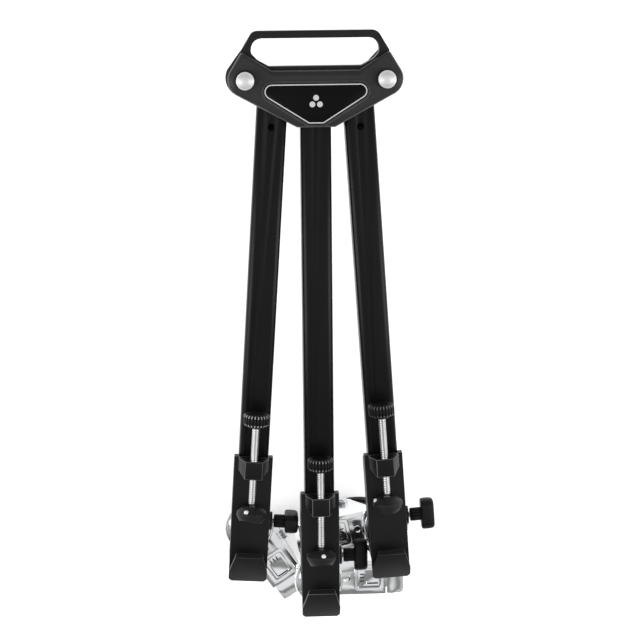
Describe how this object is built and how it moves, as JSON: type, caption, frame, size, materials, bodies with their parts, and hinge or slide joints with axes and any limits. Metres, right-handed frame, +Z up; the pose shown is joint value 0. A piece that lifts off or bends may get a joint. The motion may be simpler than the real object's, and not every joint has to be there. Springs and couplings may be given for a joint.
{
  "type": "folding tripod dolly",
  "caption": "Folding wheeled dolly for a camera tripod, shown folded: hub with carry handle, swinging tube arms, screw-clamp feet and braked swivel casters.",
  "frame": {"origin": "bottom centre of the folded dolly's bounding box, on the ground plane under the wheels", "axes": "+Z up from the ground with the casters down, +Y along the folded arms toward the carry handle, +X to the side the foot lock knobs stand out on"},
  "size_m": [0.2304, 0.6353, 0.1658],
  "materials": {
    "tube_black": "satin black powder coat on steel tube",
    "bracket_black": "satin black powder coat",
    "plate_black": "semi-matt black",
    "handle_black": "semi-matt black",
    "badge_black": "gloss black with a thin white line",
    "knob_black": "moulded black plastic",
    "saddle_black": "moulded black plastic",
    "zinc": "bright zinc",
    "chrome": "bright chrome plate",
    "bronze": "sintered bronze",
    "wheel_black": "dark grey plastic",
    "tyre_black": "black rubber"
  },
  "bodies": {
    "hub": {"hub_front_plate": "plate_black", "hub_back_plate": "plate_black", "carry_handle": "handle_black", "hub_badge": "badge_black", "pivot_pins": "zinc", "hub_bolts": "zinc", "lock_pin_sleeves": "chrome", "centre_arm_tube": "tube_black", "centre_end_plug": "knob_black", "centre_caster_mount": "chrome"},
    "left_arm": {"left_arm_tube": "tube_black", "left_end_plug": "knob_black", "left_pivot_bushing": "bronze", "left_caster_mount": "chrome"},
    "left_lock": {"left_lock_pin": "chrome"},
    "right_arm": {"right_arm_tube": "tube_black", "right_end_plug": "knob_black", "right_pivot_bushing": "bronze", "right_caster_mount": "chrome"},
    "right_lock": {"right_lock_pin": "chrome"},
    "left_foot": {"left_foot_bracket": "bracket_black", "left_screw_block": "bracket_black"},
    "left_tip": {"left_screw_tip": "zinc"},
    "left_screw": {"left_clamp_screw": "zinc", "left_screw_knob": "knob_black"},
    "left_saddle_body": {"left_saddle": "saddle_black"},
    "left_lock_screw": {"left_lock_knob": "knob_black", "left_lock_stud": "zinc"},
    "left_swivel": {"left_caster_fork": "chrome", "left_caster_axle": "zinc"},
    "left_wheel": {"left_wheel_core": "wheel_black", "left_tyre": "tyre_black"},
    "left_brake": {"left_brake_pedal": "chrome"},
    "centre_foot": {"centre_foot_bracket": "bracket_black", "centre_screw_block": "bracket_black"},
    "centre_tip": {"centre_screw_tip": "zinc"},
    "centre_screw": {"centre_clamp_screw": "zinc", "centre_screw_knob": "knob_black"},
    "centre_saddle_body": {"centre_saddle": "saddle_black"},
    "centre_lock_screw": {"centre_lock_knob": "knob_black", "centre_lock_stud": "zinc"},
    "centre_swivel": {"centre_caster_fork": "chrome", "centre_caster_axle": "zinc"},
    "centre_wheel": {"centre_wheel_core": "wheel_black", "centre_tyre": "tyre_black"},
    "centre_brake": {"centre_brake_pedal": "chrome"},
    "right_foot": {"right_foot_bracket": "bracket_black", "right_screw_block": "bracket_black"},
    "right_tip": {"right_screw_tip": "zinc"},
    "right_screw": {"right_clamp_screw": "zinc", "right_screw_knob": "knob_black"},
    "right_saddle_body": {"right_saddle": "saddle_black"},
    "right_lock_screw": {"right_lock_knob": "knob_black", "right_lock_stud": "zinc"},
    "right_swivel": {"right_caster_fork": "chrome", "right_caster_axle": "zinc"},
    "right_wheel": {"right_wheel_core": "wheel_black", "right_tyre": "tyre_black"},
    "right_brake": {"right_brake_pedal": "chrome"}
  },
  "joints": [
    {"name": "left_arm_fold", "type": "hinge", "parent": "hub", "child": "left_arm", "pos_m": [-0.05511, 0.2512, 0.114], "axis": [0, 0, 1], "range_deg": [-116.1, 0]},
    {"name": "left_lock_pin_push", "type": "slide", "parent": "hub", "child": "left_lock", "axis": [0, 0, 1], "range_m": [-0.006, 0]},
    {"name": "right_arm_fold", "type": "hinge", "parent": "hub", "child": "right_arm", "pos_m": [0.03357, 0.2512, 0.114], "axis": [0, 0, 1], "range_deg": [0, 116.4]},
    {"name": "right_lock_pin_push", "type": "slide", "parent": "hub", "child": "right_lock", "axis": [0, 0, 1], "range_m": [-0.006, 0]},
    {"name": "left_foot_slide", "type": "slide", "parent": "left_arm", "child": "left_foot", "axis": [-0.068, -0.9977, 0], "range_m": [-0.025, 0]},
    {"name": "left_screw_turn", "type": "hinge", "parent": "left_tip", "child": "left_screw", "pos_m": [-0.07825, -0.08821, 0.15], "axis": [-0.068, -0.9977, 0], "range_deg": [-3602, 2882]},
    {"name": "left_screw_travel", "type": "slide", "parent": "left_foot", "child": "left_tip", "axis": [-0.068, -0.9977, 0], "range_m": [-0.02, 0.016]},
    {"name": "left_saddle_swivel", "type": "hinge", "parent": "left_tip", "child": "left_saddle_body", "pos_m": [-0.08533, -0.19197, 0.15], "axis": [-0.068, -0.9977, 0], "continuous": true},
    {"name": "left_lock_knob_turn", "type": "hinge", "parent": "left_foot", "child": "left_lock_screw", "pos_m": [-0.05029, -0.2125, 0.114], "axis": [0.9977, -0.068, 0], "range_deg": [0, 330]},
    {"name": "left_caster_swivel", "type": "hinge", "parent": "left_arm", "child": "left_swivel", "pos_m": [-0.08769, -0.22669, 0.082], "axis": [0, 0, 1], "range_deg": [-150, 0]},
    {"name": "left_wheel_roll", "type": "hinge", "parent": "left_swivel", "child": "left_wheel", "pos_m": [-0.06421, -0.26151, 0.0375], "axis": [0.829, 0.5592, 0], "continuous": true},
    {"name": "left_brake_press", "type": "hinge", "parent": "left_swivel", "child": "left_brake", "pos_m": [-0.06309, -0.26317, 0.0786], "axis": [0.829, 0.5592, 0], "range_deg": [0, 4]},
    {"name": "centre_foot_slide", "type": "slide", "parent": "hub", "child": "centre_foot", "axis": [0, -1, 0], "range_m": [-0.025, 0]},
    {"name": "centre_screw_turn", "type": "hinge", "parent": "centre_tip", "child": "centre_screw", "pos_m": [-0.01077, -0.1384, 0.15], "axis": [0, -1, 0], "range_deg": [-3602, 2882]},
    {"name": "centre_screw_travel", "type": "slide", "parent": "centre_foot", "child": "centre_tip", "axis": [0, -1, 0], "range_m": [-0.02, 0.016]},
    {"name": "centre_saddle_swivel", "type": "hinge", "parent": "centre_tip", "child": "centre_saddle_body", "pos_m": [-0.01077, -0.2424, 0.15], "axis": [0, -1, 0], "continuous": true},
    {"name": "centre_lock_knob_turn", "type": "hinge", "parent": "centre_foot", "child": "centre_lock_screw", "pos_m": [0.02558, -0.2529, 0.114], "axis": [1, 0, 0], "range_deg": [0, 330]},
    {"name": "centre_caster_swivel", "type": "hinge", "parent": "hub", "child": "centre_swivel", "pos_m": [-0.01077, -0.2904, 0.082], "axis": [0, 0, 1], "range_deg": [-50, 0]},
    {"name": "centre_wheel_roll", "type": "hinge", "parent": "centre_swivel", "child": "centre_wheel", "pos_m": [0.03123, -0.2904, 0.0375], "axis": [0, 1, 0], "continuous": true},
    {"name": "centre_brake_press", "type": "hinge", "parent": "centre_swivel", "child": "centre_brake", "pos_m": [0.03323, -0.2904, 0.0786], "axis": [0, 1, 0], "range_deg": [0, 4]},
    {"name": "right_foot_slide", "type": "slide", "parent": "right_arm", "child": "right_foot", "axis": [0.0628, -0.998, 0], "range_m": [-0.025, 0]},
    {"name": "right_screw_turn", "type": "hinge", "parent": "right_tip", "child": "right_screw", "pos_m": [0.05444, -0.08054, 0.15], "axis": [0.0628, -0.998, 0], "range_deg": [-3602, 2882]},
    {"name": "right_screw_travel", "type": "slide", "parent": "right_foot", "child": "right_tip", "axis": [0.0628, -0.998, 0], "range_m": [-0.02, 0.016]},
    {"name": "right_saddle_swivel", "type": "hinge", "parent": "right_tip", "child": "right_saddle_body", "pos_m": [0.06097, -0.18434, 0.15], "axis": [0.0628, -0.998, 0], "continuous": true},
    {"name": "right_lock_knob_turn", "type": "hinge", "parent": "right_foot", "child": "right_lock_screw", "pos_m": [0.09887, -0.20791, 0.114], "axis": [0.998, 0.0628, 0], "range_deg": [0, 330]},
    {"name": "right_caster_swivel", "type": "hinge", "parent": "right_arm", "child": "right_swivel", "pos_m": [0.06364, -0.22686, 0.082], "axis": [0, 0, 1], "range_deg": [-200, 0]},
    {"name": "right_wheel_roll", "type": "hinge", "parent": "right_swivel", "child": "right_wheel", "pos_m": [0.02256, -0.23559, 0.0375], "axis": [0.2079, -0.9781, 0], "continuous": true},
    {"name": "right_brake_press", "type": "hinge", "parent": "right_swivel", "child": "right_brake", "pos_m": [0.0206, -0.236, 0.0786], "axis": [0.2079, -0.9781, 0], "range_deg": [0, 4]}
  ],
  "couplings": [
    {"joint": "left_screw_turn", "follows": "left_screw_travel", "rad_per_m": 3141.6},
    {"joint": "centre_screw_turn", "follows": "centre_screw_travel", "rad_per_m": 3141.6},
    {"joint": "right_screw_turn", "follows": "right_screw_travel", "rad_per_m": 3141.6}
  ]
}
